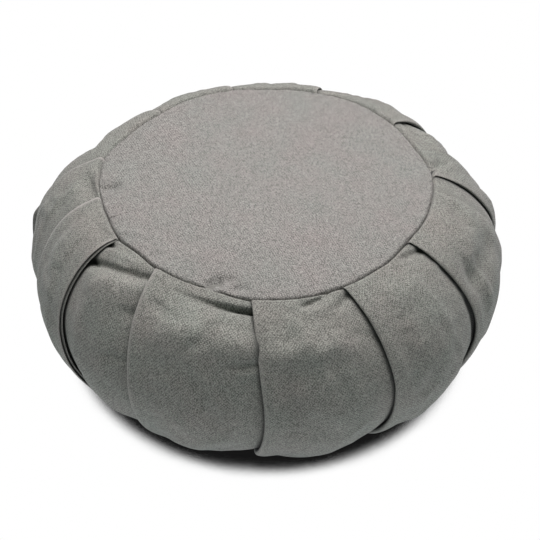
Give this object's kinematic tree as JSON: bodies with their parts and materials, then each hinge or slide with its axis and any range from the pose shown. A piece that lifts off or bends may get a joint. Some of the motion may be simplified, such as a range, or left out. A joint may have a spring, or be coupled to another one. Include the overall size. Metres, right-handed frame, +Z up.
{
  "type": "zafu meditation cushion",
  "caption": "Round firm meditation cushion with a domed top and bottom panel and a side band laid in knife pleats all the way round.",
  "frame": {"origin": "middle of the underside, on the surface that the cushion stands on", "axes": "+Z up through the middle of the cushion, +X to the right seen from the front, -Y the front"},
  "size_m": [0.3508, 0.3523, 0.1499],
  "materials": {
    "canvas": "matt heathered grey cotton canvas, plain weave"
  },
  "bodies": {
    "root": {"top_panel": "canvas", "pleated_band": "canvas", "bottom_panel": "canvas"}
  },
  "joints": []
}
